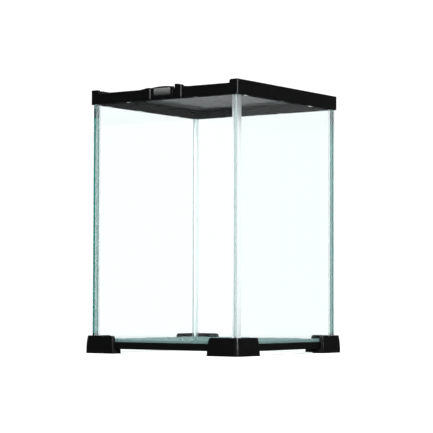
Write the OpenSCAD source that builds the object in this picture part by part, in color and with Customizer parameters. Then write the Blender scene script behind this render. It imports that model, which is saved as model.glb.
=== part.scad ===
// Reptile terrarium: a glass box with a moulded rim, a hinged mesh lid and four corner feet.
// Millimetres, +Z up. The front, with the latch, faces -Y. The origin is on the ground under the middle.

/* [Glass box] */
// Outside width of the glass box
box_w = 200; // [150:1:400]
// Outside depth of the glass box
box_d = 200; // [150:1:400]
// Height of the upright panes
pane_h = 280.2; // [120:0.1:600]
// Thickness of the upright panes
pane_t = 4; // [3:0.5:6]
// Thickness of the floor pane
floor_t = 4; // [3:0.5:6]

/* [Silicone] */
// Width of the silicone joint where two panes meet
joint_gap = 0.4; // [0.2:0.1:0.8]
// Gap between the glass and the frames, filled with silicone
bed_gap = 0.4; // [0.2:0.1:0.8]
// Leg of the concave fillet in each upright corner
corner_leg = 4.5; // [2.5:0.1:6]
// Leg of the concave fillet around the floor
floor_leg = 3.6; // [2:0.1:5]
// Height of the bead squeezed out under the rim
squeeze_out = 0.7; // [0.3:0.1:1.2]

/* [Base frame] */
// Height of the base frame above the ground
base_lift = 5.3; // [4:0.1:15]
// Thickness of the ledge under the glass
ledge_t = 3.1; // [2:0.1:6]
// How far the ledge reaches in from the outside of the glass
ledge_reach = 12; // [9:0.1:25]
// Thickness of the wall outside the glass
strip_wall = 2; // [1.2:0.1:3]
// How far that wall rises beside the glass
strip_cover = 4.6; // [3:0.1:8]
// Radius along the top edge of that wall
strip_edge_r = 0.8; // [0.3:0.1:1]
// Radius of that wall's upright corners
strip_corner_r = 1.5; // [1:0.1:3]

/* [Feet] */
// Height of a foot
foot_h = 20.2; // [18:0.1:40]
// Length of each arm of a foot along the ground
foot_arm = 42; // [30:0.1:60]
// How much shorter each arm is at its top
foot_arm_slope = 2; // [0.5:0.1:5]
// Width of the pad under the base frame
foot_pad = 15; // [10:0.1:20]
// How far a foot stands out of the base frame at the ground
foot_out = 4.3; // [2:0.1:6]
// How far it stands out at its top
foot_top_out = 2.6; // [0.5:0.1:3.5]
// Radius of the outer corner at the ground
foot_corner_r = 7; // [3:0.1:9]
// Radius at the top end of each arm
foot_end_r = 3; // [1:0.1:5]
// Radius of the peg that locates a foot in the base frame
peg_r = 2.5; // [1.5:0.1:3]
// How much shorter the peg is than its hole
peg_short = 0.3; // [0.1:0.1:1]
// Clearance around the base frame, the glass and the peg
foot_gap = 0.1; // [0.05:0.05:0.3]

/* [Top rim] */
// How far the rim covers the panes
rim_cover = 5.6; // [4:0.1:10]
// Thickness of the rim's wall outside the glass
rim_wall = 2; // [1.8:0.1:3]
// Thickness of the rim's lip inside the glass
rim_lip = 2.2; // [1.5:0.1:3.5]
// Thickness of the web over the panes, which is the lid's seat
rim_web = 1.8; // [1.2:0.1:4]
// Thickness of the walls around the lid
well_wall = 4.1; // [3.5:0.1:5]
// Height of the side walls above the lid's seat
side_h = 8.8; // [8:0.1:14]
// Height of the front and rear walls above the lid's seat
end_h = 4.9; // [4:0.1:5.6]
// How much the side walls fall from the front to the rear
side_fall = 0.8; // [0.4:0.1:2]
// Radius along the rim's outer top edges
rim_edge_r = 1.5; // [1:0.1:3]
// Radius of the rim's upright corners
rim_corner_r = 2.5; // [1:0.1:4]
// How far the side walls reach round the front corners
corner_wrap = 11.4; // [6:0.1:40]
// Radius at the end of that reach
wrap_r = 2.5; // [0.5:0.1:3]
// Radius where a side wall rounds over at the front
side_front_r = 1.2; // [0.5:0.1:3]
// Radius where a side wall rounds over at its rear end
side_rear_r = 4; // [2.5:0.1:6]
// Width of the thickened patch of the rear lip behind the hinge
patch_w = 26.6; // [15:0.1:40]
// How far that patch stands into the opening
patch_t = 1; // [0.5:0.1:1.5]

/* [Posts] */
// Gap between the two posts of a pair
post_gap = 33.2; // [32:0.1:45]
// Width of a post
post_w = 9.8; // [6:0.1:16]
// How far a post stands out of the rim
post_out = 1.3; // [1:0.1:2]
// Height of the hinge posts above the lid's seat
hinge_post_h = 7.5; // [7.2:0.1:7.6]
// Height of the post on the left of the latch above the lid's seat
left_post_h = 6.1; // [5:0.1:10]
// Height of the post on the right of the latch above the lid's seat
right_post_h = 8.2; // [5:0.1:10]
// Height of a post's lower end above the rim's underside
post_foot = 1.1; // [0.5:0.1:2]
// Radius of the dome on a post
post_dome_r = 25; // [20:1:60]
// Distance of the dome's top from the post's inner side
post_dome_in = 2.5; // [1:0.1:5]
// Radius of a post's outer upright edges
post_edge_r = 2; // [0.4:0.1:2.4]
// Height of the fairing where a post meets the rim's top
fairing_h = 1; // [0.5:0.1:2]
// Length of that fairing
fairing_l = 8; // [3:0.5:15]

/* [Lid] */
// Clearance around the lid in the rim
lid_gap = 0.3; // [0.2:0.1:0.6]
// Clearance under the closed lid
seat_gap = 0.1; // [0.05:0.05:0.3]
// Width of the lid's bars
bar_w = 9.3; // [8.5:0.1:14]
// Height of the side bars
side_bar_h = 7.5; // [7:0.1:8]
// Height of the front and rear bars
end_bar_h = 4.1; // [3.9:0.1:4.2]
// Radius along the lid's top edges
bar_edge_r = 1; // [0.4:0.1:1.2]
// Thickness of the lid's skirt around the retainer
skirt_t = 2; // [1.2:0.1:2.5]
// Thickness of the front and rear bars over the mesh
flange_t = 1.3; // [1:0.1:1.6]
// Thickness of the mesh
mesh_t = 0.4; // [0.3:0.1:0.8]
// Number of openings across the mesh, each of which stands for many fine ones
mesh_cells = 12; // [4:1:12]
// Width of the strands between those openings
mesh_strand = 2.8; // [1:0.1:5]
// Thickness of the retainer ring under the mesh
retainer_t = 2; // [1.2:0.1:2.2]
// Width of the retainer ring
retainer_w = 6.7; // [6:0.1:7]
// Clearance around the mesh and the retainer ring
retainer_gap = 0.3; // [0.1:0.1:0.5]

/* [Retainer screws] */
// Number of screws along each side bar
screws_per_side = 3; // [2:1:6]
// Distance from the end of a side bar to its first screw
screw_inset = 28; // [15:1:50]
// Radius of a screw's shank
screw_r = 0.9; // [0.6:0.1:1.1]
// Length of a screw's shank
screw_l = 5.4; // [4:0.1:6]
// Radius of a screw's head
screw_head_r = 1.6; // [1.4:0.1:1.8]
// Height of a screw's head
screw_head_h = 0.9; // [0.6:0.1:1.2]
// Width of the cross in a screw's head
screw_cross_w = 0.4; // [0.3:0.05:0.5]
// Depth of that cross
screw_cross_d = 0.45; // [0.3:0.05:0.5]

/* [Latch] */
// Distance of the latch from the middle of the front
latch_x = 0.6; // [-20:0.1:20]
// Width of the latch plate
plate_w = 28.6; // [26:0.1:30]
// Height of the latch plate
plate_h = 12.7; // [11:0.1:13]
// Thickness of the plate at its ends
plate_end_t = 1.2; // [1:0.1:1.8]
// How far the plate bows out in the middle
plate_bow = 1.05; // [0.5:0.05:1.2]
// How much lower the plate's top is at its ends
plate_arch = 1; // [0.4:0.1:1.5]
// Radius of the plate's corners
plate_corner_r = 1.2; // [0.5:0.1:2]
// Depth of the recess in the rim behind the plate
latch_recess = 0.8; // [0.5:0.1:1]
// Clearance between the plate and that recess
latch_gap = 0.4; // [0.3:0.1:0.6]
// Height of the rim's wall under the latch pin, above the lid's seat
latch_sill = 2.6; // [2:0.1:2.7]
// Clearance of the barrels over that wall and around the lug
barrel_gap = 0.3; // [0.2:0.1:0.4]
// Radius of the latch barrels
latch_barrel_r = 1.6; // [1.5:0.1:1.7]
// Radius of the latch pin
latch_pin_r = 0.8; // [0.6:0.05:0.9]
// How far the plate rises above its barrels
plate_over = 0.7; // [0.3:0.1:1]
// Distance of the latch pin from the plate's back
latch_pin_in = 1; // [0.9:0.1:1.2]
// Length of each barrel on the plate
plate_barrel_l = 5.9; // [4:0.1:7]
// Clearance between barrels along the pin
barrel_side_gap = 0.4; // [0.2:0.1:0.6]
// Distance that the pin's ends stay inside the barrels
pin_inset = 0.2; // [0.1:0.1:0.5]
// How far the catch rib stands out of the recess
catch_out = 1; // [0.8:0.1:1.2]
// Thickness of the catch rib
catch_t = 1.4; // [1:0.1:2]
// Width of the catch rib
catch_w = 10; // [6:0.5:12]
// Thickness of the hook along the plate's lower edge
hook_t = 2; // [1.5:0.1:3]
// Clearance of the plate around the catch rib
catch_gap = 0.3; // [0.2:0.1:0.5]
// Clearance of the plate beside the catch rib's ends
catch_end_gap = 0.6; // [0.3:0.1:1]
// Room in the plate's back above the catch rib
catch_room = 2; // [1:0.1:2.5]

/* [Badge] */
// Margin between the badge and the plate's ends
badge_side = 3; // [2:0.1:6]
// Margin between the badge and the plate's lower edge
badge_low = 2.3; // [1.5:0.1:3]
// Height of the badge
badge_h = 8.4; // [5:0.1:8.6]
// Depth of the badge's seat in the plate
badge_seat = 0.3; // [0.2:0.05:0.4]
// How far the badge stands out of the plate
badge_out = 0.25; // [0.1:0.05:0.3]
// Radius of the badge's corners
badge_corner_r = 1; // [0.5:0.1:2]

/* [Latch spring] */
// Diameter of the spring's wire
wire_d = 0.4; // [0.3:0.05:0.45]
// Number of turns in the spring
spring_turns = 5; // [3:1:5]
// Clearance between the spring's turns
wire_gap = 0.06; // [0.02:0.01:0.1]
// Clearance between the spring and the pin
spring_gap = 0.33; // [0.1:0.01:0.4]
// Room for the spring along the pin
spring_room = 3.2; // [3:0.1:4]
// Length of the leg that lies on the lid
lid_leg_l = 6; // [5:0.1:9]
// Length of the leg that pushes the plate
plate_leg_l = 1.1; // [0.6:0.1:1.2]

/* [Hinge] */
// Height of the rear wall under the hinge pin, above the lid's seat
hinge_sill = 3.4; // [3:0.1:3.6]
// Distance of the hinge pin inside the rim's outer face
hinge_pin_in = 1.1; // [0.9:0.1:1.2]
// Radius of the hinge pin
hinge_pin_r = 1; // [0.8:0.05:1.1]
// Radius of the lid's hinge barrel
hinge_barrel_r = 1.9; // [1.8:0.1:2]
// Clearance of the barrel over the rear wall
hinge_barrel_gap = 0.5; // [0.4:0.1:0.6]
// Clearance of the stop heel over the rear wall
heel_gap = 0.05; // [0.04:0.01:0.1]
// Width of the stop heel
heel_w = 1.6; // [1:0.1:2]
// Width of the lid's hinge tab
tab_w = 28.6; // [20:0.1:30]
// Thickness of the hinge tab
tab_t = 2.3; // [2:0.1:2.8]
// How far the tab reaches onto the lid's rear bar
tab_reach = 6; // [4:0.1:8]
// Angle at which the open lid stops
lid_open = 105; // [95:1:115]

/* [Fits] */
// Radial clearance where a pin turns
turn_fit = 0.06; // [0.03:0.01:0.1]
// Radial clearance where a pin or a screw is held
held_fit = 0.01; // [0.01:0.01:0.03]

/* [Hidden] */
$fn = 64;
// Number of segments in the wide arcs of the latch plate and the posts
wide_fn = 360;
// Overshoot of cuts past the face that they open
cut = 1;
// Share by which a foot's round corner is wider than its sides, so that it meets them at a slight edge
edge_cross = 1.005;
// Distance of a fillet's hollow centre from the corner, in legs
fillet_fullness = 1.25;
// Number of sides of the spring's wire, and of its sections in one turn
wire_sides = 8;
wire_steps = 16;

// Colours
glass_colour = [0.78, 0.9, 0.88, 0.35];
silicone_colour = [0.8, 0.83, 0.83];
plastic_colour = [0.07, 0.07, 0.075];
badge_colour = [0.03, 0.03, 0.035];
mesh_colour = [0.3, 0.3, 0.31];
steel_colour = [0.7, 0.71, 0.73];

// Glass box
glass_x = box_w/2;
glass_y = box_d/2;
inner_x = glass_x - pane_t;
inner_y = glass_y - pane_t;
glass_z = base_lift + ledge_t + bed_gap;
glass_top = glass_z + pane_h;
floor_top = glass_z + floor_t;

// Base frame
strip_x = glass_x + bed_gap + strip_wall;
strip_y = glass_y + bed_gap + strip_wall;
strip_top = glass_z + strip_cover;

// Feet
foot_taper = foot_out - foot_top_out;
foot_x = strip_x + foot_out;
foot_y = strip_y + foot_out;
peg_x = (strip_x + foot_x - foot_pad)/2;
peg_y = (strip_y + foot_y - foot_pad)/2;
peg_h = ledge_t - peg_short;

// Top rim
rim_x = glass_x + bed_gap + rim_wall;
rim_y = glass_y + bed_gap + rim_wall;
rim_z = glass_top - rim_cover;
groove_z = glass_top + bed_gap;
seat_z = groove_z + rim_web;
side_top = seat_z + side_h;
end_top = seat_z + end_h;
well_x = rim_x - well_wall;
well_y = rim_y - well_wall;
lip_x = inner_x - bed_gap - rim_lip;
lip_y = inner_y - bed_gap - rim_lip;

// Posts
post_y = rim_y + post_out;
post_z = rim_z + post_foot;

// Lid
lid_x = well_x - lid_gap;
lid_y = well_y - lid_gap;
lid_z = seat_z + seat_gap;
side_bar_top = lid_z + side_bar_h;
end_bar_top = lid_z + end_bar_h;
view_x = lid_x - bar_w;
view_y = lid_y - bar_w;
mesh_top = end_bar_top - flange_t;
mesh_z = mesh_top - mesh_t;
mesh_pitch_x = 2*view_x/mesh_cells;
mesh_pitch_y = 2*view_y/mesh_cells;
retainer_z = mesh_z - retainer_t;
clamp_x = lid_x - skirt_t;
clamp_y = lid_y - skirt_t;
screw_x = lip_x - lid_gap - screw_head_r;

// Latch. Its own coordinates have x = 0 in the middle of the plate.
recess_y = rim_y - latch_recess;
plate_back = recess_y + latch_gap;
plate_front = plate_back + plate_end_t + plate_bow;
bow_r = (pow(plate_w/2, 2) + pow(plate_bow, 2))/(2*plate_bow);
arch_r = (pow(plate_w/2, 2) + pow(plate_arch, 2))/(2*plate_arch);
latch_pin_y = plate_back - latch_pin_in;
latch_pin_z = seat_z + latch_sill + barrel_gap + latch_barrel_r;
plate_top = latch_pin_z + latch_barrel_r + plate_over;
plate_z = plate_top - plate_h;
plate_barrel_x = plate_w/2 - plate_barrel_l;
lug_x = plate_barrel_x - barrel_side_gap;
catch_z = plate_z + hook_t + catch_gap;
relief_r = latch_barrel_r + barrel_gap;
coil_r = latch_pin_r + spring_gap + wire_d/2;

// Hinge
hinge_y = rim_y - hinge_pin_in;
hinge_floor = seat_z + hinge_sill;
hinge_z = hinge_floor + hinge_barrel_gap + hinge_barrel_r;
heel_r = hinge_z - hinge_floor - heel_gap;
post_outer_x = post_gap/2 + post_w;

// Rectangle with round corners
module round_rect(w, d, r) {
    square([w - 2*r, d], center=true);
    square([w, d - 2*r], center=true);
    for (x = [-1, 1], y = [-1, 1])
        translate([x*(w/2 - r), y*(d/2 - r)]) circle(r);
}

// Upright section from z0 to z1, w wide, with its two top corners rounded
module round_top(w, z0, z1, left_r, right_r) {
    translate([left_r - w/2, z0]) square([w - left_r - right_r, z1 - z0]);
    translate([-w/2, z0]) square([w/2, z1 - z0 - left_r]);
    translate([0, z0]) square([w/2, z1 - z0 - right_r]);
    translate([left_r - w/2, z1 - left_r]) circle(left_r);
    translate([w/2 - right_r, z1 - right_r]) circle(right_r);
}

// A section drawn in x and z, drawn out along y from y0 to y1
module along_y(y0, y1)
    translate([0, y1, 0]) rotate([90, 0, 0]) linear_extrude(y1 - y0) children();

// A section drawn in y and z, drawn out along x from x0 to x1
module along_x(x0, x1)
    translate([x0, 0, 0]) rotate([90, 0, 90]) linear_extrude(x1 - x0) children();

// A block with round upright corners, and with its top edges rounded on the sides, front and rear
module soft_block(x, y, z0, z1, corner_r, side_r, front_r, rear_r) {
    intersection() {
        translate([0, 0, z0]) linear_extrude(z1 - z0) round_rect(2*x, 2*y, corner_r);
        along_y(-y - cut, y + cut) round_top(2*x, z0, z1, side_r, side_r);
        along_x(-x - cut, x + cut) round_top(2*y, z0, z1, front_r, rear_r);
    }
}

// A box centred on the upright axis, from z0 to z1
module centred_box(x, y, z0, z1)
    translate([-x, -y, z0]) cube([2*x, 2*y, z1 - z0]);

// A rod along x
module rod(r, x0, x1)
    translate([x0, 0, 0]) rotate([0, 90, 0]) cylinder(r=r, h=x1 - x0);

// Mirrors what is drawn in the +x +y quarter to one of the four corners
module to_corner(sx, sy)
    scale_sign(sx, [1, 0, 0]) scale_sign(sy, [0, 1, 0]) children();
module scale_sign(s, v) {
    if (s < 0) mirror(v) children();
    else children();
}

// Concave fillet in the corner at the origin, reaching leg along +x and +y
module concave_fillet(leg) {
    hollow = fillet_fullness*leg;
    difference() {
        square(hollow);
        translate([hollow, hollow]) circle(sqrt(pow(hollow, 2) + pow(hollow - leg, 2)));
    }
}

// Glass. The side panes run the full depth, and the front and rear panes stand between them.
module side_pane()
    color(glass_colour)
        translate([-pane_t/2, -glass_y, glass_z]) cube([pane_t, box_d, pane_h]);

module end_pane()
    color(glass_colour)
        translate([joint_gap - inner_x, -pane_t/2, glass_z])
            cube([2*(inner_x - joint_gap), pane_t, pane_h]);

module front_glass() translate([0, pane_t/2 - glass_y, 0]) end_pane();
module rear_glass() translate([0, glass_y - pane_t/2, 0]) end_pane();
module left_glass() translate([pane_t/2 - glass_x, 0, 0]) side_pane();
module right_glass() translate([glass_x - pane_t/2, 0, 0]) side_pane();

module floor_glass()
    color(glass_colour)
        centred_box(inner_x - joint_gap, inner_y - joint_gap, glass_z, floor_top);

// Silicone in an upright joint: a strip between the panes and the fillet inside, up to the rim's lip
module corner_fillet_column()
    translate([inner_x, inner_y, floor_top]) rotate([0, 0, 180])
        linear_extrude(rim_z - floor_top) concave_fillet(corner_leg);

module corner_seam(sx, sy)
    color(silicone_colour) to_corner(sx, sy) {
        translate([inner_x - joint_gap, inner_y - cut/2, glass_z + floor_t])
            cube([joint_gap, pane_t + cut/2, rim_z - glass_z - floor_t]);
        translate([inner_x - joint_gap, inner_y, glass_z]) cube([joint_gap, pane_t, pane_h]);
        corner_fillet_column();
    }

module seam_front_left() corner_seam(-1, -1);
module seam_front_right() corner_seam(1, -1);
module seam_rear_left() corner_seam(-1, 1);
module seam_rear_right() corner_seam(1, 1);

// Silicone around the floor: a strip beside its edge and a fillet on top of it
module floor_bead(half, reach)
    translate([0, half, floor_top]) rotate([90, 0, 90])
        linear_extrude(2*reach, center=true) mirror([1, 0]) concave_fillet(floor_leg);

module floor_seam()
    color(silicone_colour) difference() {
        union() {
            for (s = [-1, 1]) {
                scale_sign(s, [0, 1, 0]) floor_bead(inner_y, inner_x);
                scale_sign(s, [1, 0, 0]) rotate([0, 0, -90]) floor_bead(inner_x, inner_y);
            }
            difference() {
                centred_box(inner_x, inner_y, glass_z, floor_top + joint_gap);
                centred_box(inner_x - joint_gap, inner_y - joint_gap, glass_z - cut, floor_top);
                centred_box(inner_x - joint_gap, inner_y - joint_gap, glass_z, floor_top + cut);
            }
        }
        for (sx = [-1, 1], sy = [-1, 1]) to_corner(sx, sy) corner_fillet_column();
    }

// Base frame: a wall around the glass with a ledge under it
module base_frame()
    color(plastic_colour) difference() {
        soft_block(strip_x, strip_y, base_lift, strip_top,
            strip_corner_r, strip_edge_r, strip_edge_r, strip_edge_r);
        centred_box(glass_x + bed_gap, glass_y + bed_gap, glass_z - bed_gap, strip_top + cut);
        centred_box(glass_x - ledge_reach, glass_y - ledge_reach, base_lift - cut, glass_z);
        for (sx = [-1, 1], sy = [-1, 1])
            translate([sx*peg_x, sy*peg_y, base_lift - cut])
                cylinder(r=peg_r + foot_gap, h=ledge_t + 2*cut);
    }

// Silicone bed between the base frame and the glass
module base_bedding()
    color(silicone_colour) difference() {
        centred_box(glass_x + bed_gap, glass_y + bed_gap, glass_z - bed_gap, strip_top);
        centred_box(glass_x, glass_y, glass_z, strip_top + cut);
        centred_box(glass_x - ledge_reach, glass_y - ledge_reach, base_lift, glass_z + cut);
    }

// Section of a foot's arm along its length: its end slopes and rounds over, its corner side tapers
module foot_length_section(half) {
    start = half - foot_arm;
    slant = sqrt(pow(foot_h, 2) + pow(foot_arm_slope, 2));
    round_z = foot_h - foot_end_r;
    round_x = start + (foot_end_r*slant + round_z*foot_arm_slope)/foot_h;
    polygon([[start, 0], [half, 0], [half - foot_taper, foot_h], [round_x, foot_h],
        [round_x - foot_end_r*foot_h/slant, round_z + foot_end_r*foot_arm_slope/slant]]);
    translate([round_x, round_z]) circle(foot_end_r);
}

// Section of a foot's arm across its width
module foot_width_section(half)
    polygon([[half - foot_pad, 0], [half, 0], [half - foot_taper, foot_h], [half - foot_pad, foot_h]]);

module foot_blank() {
    intersection() {
        along_y(foot_y - foot_pad, foot_y) foot_length_section(foot_x);
        along_x(foot_x - foot_arm, foot_x) foot_width_section(foot_y);
    }
    intersection() {
        along_x(foot_x - foot_pad, foot_x) foot_length_section(foot_y);
        along_y(foot_y - foot_arm, foot_y) foot_width_section(foot_x);
    }
}

// What is cut from the outer corner of a foot to leave it round
module foot_corner_cut()
    translate([foot_x - foot_corner_r, foot_y - foot_corner_r, 0]) difference() {
        translate([0, 0, -cut]) cube([foot_corner_r + cut, foot_corner_r + cut, foot_h + 2*cut]);
        translate([0, 0, -cut]) cylinder(h=foot_h + 2*cut,
            r1=foot_corner_r*edge_cross + foot_taper*cut/foot_h,
            r2=foot_corner_r*edge_cross - foot_taper*(1 + cut/foot_h));
    }

module foot(sx, sy)
    color(plastic_colour) to_corner(sx, sy) {
        difference() {
            foot_blank();
            foot_corner_cut();
            centred_box(strip_x + foot_gap, strip_y + foot_gap, base_lift, strip_top + foot_gap);
            centred_box(glass_x + foot_gap, glass_y + foot_gap, strip_top, foot_h + cut);
        }
        translate([peg_x, peg_y, base_lift - cut]) cylinder(r=peg_r, h=peg_h + cut);
    }

module foot_front_left() foot(-1, -1);
module foot_front_right() foot(1, -1);
module foot_rear_left() foot(-1, 1);
module foot_rear_right() foot(1, 1);

// One post of the given height and its fairing, drawn for the front and for x > 0
module post(h) {
    top = seat_z + h;
    intersection() {
        along_y(-post_y, -well_y) intersection() {
            translate([post_gap/2, post_z]) square([post_w, top - post_z]);
            translate([post_gap/2 + post_dome_in, top - post_dome_r]) circle(post_dome_r, $fn=wide_fn);
        }
        translate([post_gap/2, -post_y, post_z]) linear_extrude(top - post_z) {
            translate([post_w/2, post_y - well_y]) round_rect(post_w, 2*(post_y - well_y), post_edge_r);
        }
    }
    along_y(rim_edge_r - rim_y, -well_y)
        polygon([[post_outer_x - cut, end_top - cut], [post_outer_x + fairing_l, end_top - cut],
            [post_outer_x + fairing_l, end_top], [post_outer_x, end_top + fairing_h],
            [post_outer_x - cut, end_top + fairing_h]]);
}

module post_pair(left_h, right_h) {
    post(right_h);
    mirror([1, 0, 0]) post(left_h);
}

// What is cut from a block as high as the side walls to leave them and their short returns at the front
module between_side_walls() {
    translate([-well_x, -well_y, rim_z - cut])
        cube([2*well_x, well_y + rim_y + cut, side_top - rim_z + 2*cut]);
    along_y(-rim_y - cut, -well_y + cut) difference() {
        translate([-rim_x, rim_z - cut]) square([2*rim_x, side_top - rim_z + 2*cut]);
        for (s = [-1, 1]) translate([s*(rim_x + wrap_r - corner_wrap/2), 0])
            round_top(corner_wrap + 2*wrap_r, rim_z - 2*cut, side_top, wrap_r, wrap_r);
    }
}

// The high side walls of the rim, which fall towards the rear
module side_walls()
    difference() {
        soft_block(rim_x, rim_y, rim_z, side_top, rim_corner_r, rim_edge_r, side_front_r, side_rear_r);
        between_side_walls();
        translate([-rim_x - cut, -rim_y, side_top]) rotate([-atan(side_fall/(2*rim_y)), 0, 0])
            translate([0, -cut, 0]) cube([2*(rim_x + cut), 2*(rim_y + 2*cut), 2*side_fall]);
    }

// Top rim: it caps the panes, holds the lid in a well, and carries the latch catch and the hinge
module top_frame()
    color(plastic_colour) {
        difference() {
            union() {
                soft_block(rim_x, rim_y, rim_z, end_top, rim_corner_r, rim_edge_r, rim_edge_r, rim_edge_r);
                side_walls();
                translate([latch_x, 0, 0]) post_pair(left_post_h, right_post_h);
                mirror([0, 1, 0]) post_pair(hinge_post_h, hinge_post_h);
            }
            centred_box(well_x, well_y, seat_z, side_top + cut);
            difference() {
                centred_box(lip_x, lip_y, rim_z - cut, seat_z + cut);
                translate([-patch_w/2, lip_y - patch_t, rim_z - 2*cut])
                    cube([patch_w, patch_t + cut, seat_z - rim_z + 2*cut]);
            }
            difference() {
                centred_box(glass_x + bed_gap, glass_y + bed_gap, rim_z - cut, groove_z);
                centred_box(lip_x + rim_lip, lip_y + rim_lip, rim_z - 2*cut, groove_z + cut);
            }
            translate([latch_x - post_gap/2, -rim_y - cut, post_z])
                cube([post_gap, latch_recess + cut, side_top - post_z]);
            translate([latch_x - post_gap/2, -rim_y - cut, seat_z + latch_sill])
                cube([post_gap, well_wall + 2*cut, side_top - seat_z]);
            translate([-post_gap/2, well_y - cut, hinge_floor])
                cube([post_gap, well_wall + 2*cut, side_top - seat_z]);
            translate([0, hinge_y, hinge_z])
                rod(hinge_pin_r + held_fit, -post_outer_x - cut, post_outer_x + cut);
        }
        translate([latch_x - catch_w/2, -recess_y - catch_out, catch_z])
            cube([catch_w, catch_out + latch_recess/2, catch_t]);
    }

// Silicone bed in the rim's groove, with a bead squeezed out along the outside of the glass
module top_bedding()
    color(silicone_colour) difference() {
        union() {
            difference() {
                centred_box(glass_x + bed_gap, glass_y + bed_gap, rim_z, groove_z);
                centred_box(lip_x + rim_lip, lip_y + rim_lip, rim_z - cut, groove_z + cut);
            }
            centred_box(glass_x + bed_gap, glass_y + bed_gap, rim_z - squeeze_out, rim_z + bed_gap);
        }
        centred_box(glass_x, glass_y, rim_z - squeeze_out - cut, glass_top);
        centred_box(lip_x + rim_lip, lip_y + rim_lip, rim_z - 2*cut, groove_z + cut);
    }

module hinge_pin()
    color(steel_colour) translate([0, hinge_y, hinge_z])
        rod(hinge_pin_r, pin_inset - post_outer_x, post_outer_x - pin_inset);

// Lug on the front of the lid that carries the latch pin, with room beside it for the spring
module latch_lug()
    translate([latch_x, 0, 0]) {
        translate([0, -latch_pin_y, latch_pin_z]) rod(latch_barrel_r, -lug_x, lug_x - spring_room);
        translate([-lug_x, -latch_pin_y, latch_pin_z - latch_barrel_r])
            cube([2*lug_x - spring_room, latch_pin_y - lid_y + tab_reach, 2*latch_barrel_r]);
    }

// Tab on the rear of the lid with the hinge barrel and the heel that stops the open lid
module hinge_tab() {
    translate([0, hinge_y, hinge_z]) {
        rod(hinge_barrel_r, -tab_w/2, tab_w/2);
        along_x(-tab_w/2, tab_w/2) intersection() {
            circle(heel_r);
            rotate(lid_open - 90) translate([0, -heel_w/2]) square([2*heel_r, heel_w]);
        }
    }
    translate([-tab_w/2, lid_y - tab_reach, hinge_z - hinge_barrel_r])
        cube([tab_w, hinge_y - lid_y + tab_reach, tab_t]);
}

// Middle of each retainer screw, on the ring's underside
module at_screws()
    for (sx = [-1, 1], i = [0:screws_per_side - 1])
        translate([sx*screw_x, (lid_y - screw_inset)*(2*i/(screws_per_side - 1) - 1), retainer_z])
            children();

// Lid frame: low bars front and rear, high bars at the sides, open in the middle
module lid_frame()
    color(plastic_colour) difference() {
        union() {
            soft_block(lid_x, lid_y, lid_z, end_bar_top, bar_edge_r, bar_edge_r, bar_edge_r, bar_edge_r);
            for (s = [-1, 1]) translate([s*(lid_x - bar_w/2), 0, 0])
                soft_block(bar_w/2, lid_y, lid_z, side_bar_top,
                    bar_edge_r, bar_edge_r, bar_edge_r, bar_edge_r);
            latch_lug();
            hinge_tab();
        }
        centred_box(view_x, view_y, lid_z - cut, end_bar_top + cut);
        centred_box(clamp_x, clamp_y, lid_z - cut, mesh_top);
        at_screws() cylinder(r=screw_r + held_fit, h=screw_l + cut/2);
        translate([latch_x, -latch_pin_y, latch_pin_z])
            rod(latch_pin_r + held_fit, -plate_w/2, plate_w/2);
        translate([0, hinge_y, hinge_z]) rod(hinge_pin_r + turn_fit, -tab_w/2 - cut, tab_w/2 + cut);
    }

// Middle of each opening in the mesh
module at_mesh_cells()
    for (i = [1:mesh_cells], j = [1:mesh_cells])
        translate([(i - 1/2)*mesh_pitch_x - view_x, (j - 1/2)*mesh_pitch_y - view_y]) children();

// Wire mesh, drawn as one sheet with a coarse grid of openings inside the lid's bars
module lid_mesh()
    color(mesh_colour) difference() {
        centred_box(clamp_x - retainer_gap, clamp_y - retainer_gap, mesh_z, mesh_top);
        at_screws() cylinder(r=screw_r + retainer_gap, h=retainer_t + mesh_t + cut);
        translate([0, 0, mesh_z - cut]) linear_extrude(mesh_t + 2*cut)
            at_mesh_cells() square([mesh_pitch_x - mesh_strand, mesh_pitch_y - mesh_strand], center=true);
    }

module mesh_retainer()
    color(plastic_colour) difference() {
        centred_box(clamp_x - retainer_gap, clamp_y - retainer_gap, retainer_z, mesh_z);
        centred_box(clamp_x - retainer_gap - retainer_w, clamp_y - retainer_gap - retainer_w,
            retainer_z - cut, mesh_z + cut);
        at_screws() translate([0, 0, -cut]) cylinder(r=screw_r + turn_fit, h=retainer_t + 2*cut);
    }

module retainer_screws()
    color(steel_colour) at_screws() {
        cylinder(r=screw_r, h=screw_l);
        difference() {
            translate([0, 0, -screw_head_h]) cylinder(r=screw_head_r, h=screw_head_h);
            for (turn = [0, 90]) rotate([0, 0, turn])
                translate([-screw_r, -screw_cross_w/2, -screw_head_h - cut])
                    cube([2*screw_r, screw_cross_w, cut + screw_cross_d]);
        }
    }

// The latch plate's outline seen from the front
module plate_outline()
    intersection() {
        translate([0, (plate_z + plate_top)/2]) round_rect(plate_w, plate_h, plate_corner_r);
        translate([0, plate_top - arch_r]) circle(arch_r, $fn=wide_fn);
    }

// Everything within a distance r of the axis that the plate bows about
module bow_cylinder(r)
    translate([0, bow_r - plate_front, plate_z - cut]) cylinder(r=r, h=plate_h + 2*cut, $fn=wide_fn);

// The badge's outline seen from the front
module badge_outline()
    translate([0, plate_z + badge_low + badge_h/2])
        round_rect(plate_w - 2*badge_side, badge_h, badge_corner_r);

module badge_block(r)
    intersection() {
        along_y(-plate_front - cut, -plate_back) badge_outline();
        bow_cylinder(r);
    }

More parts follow.
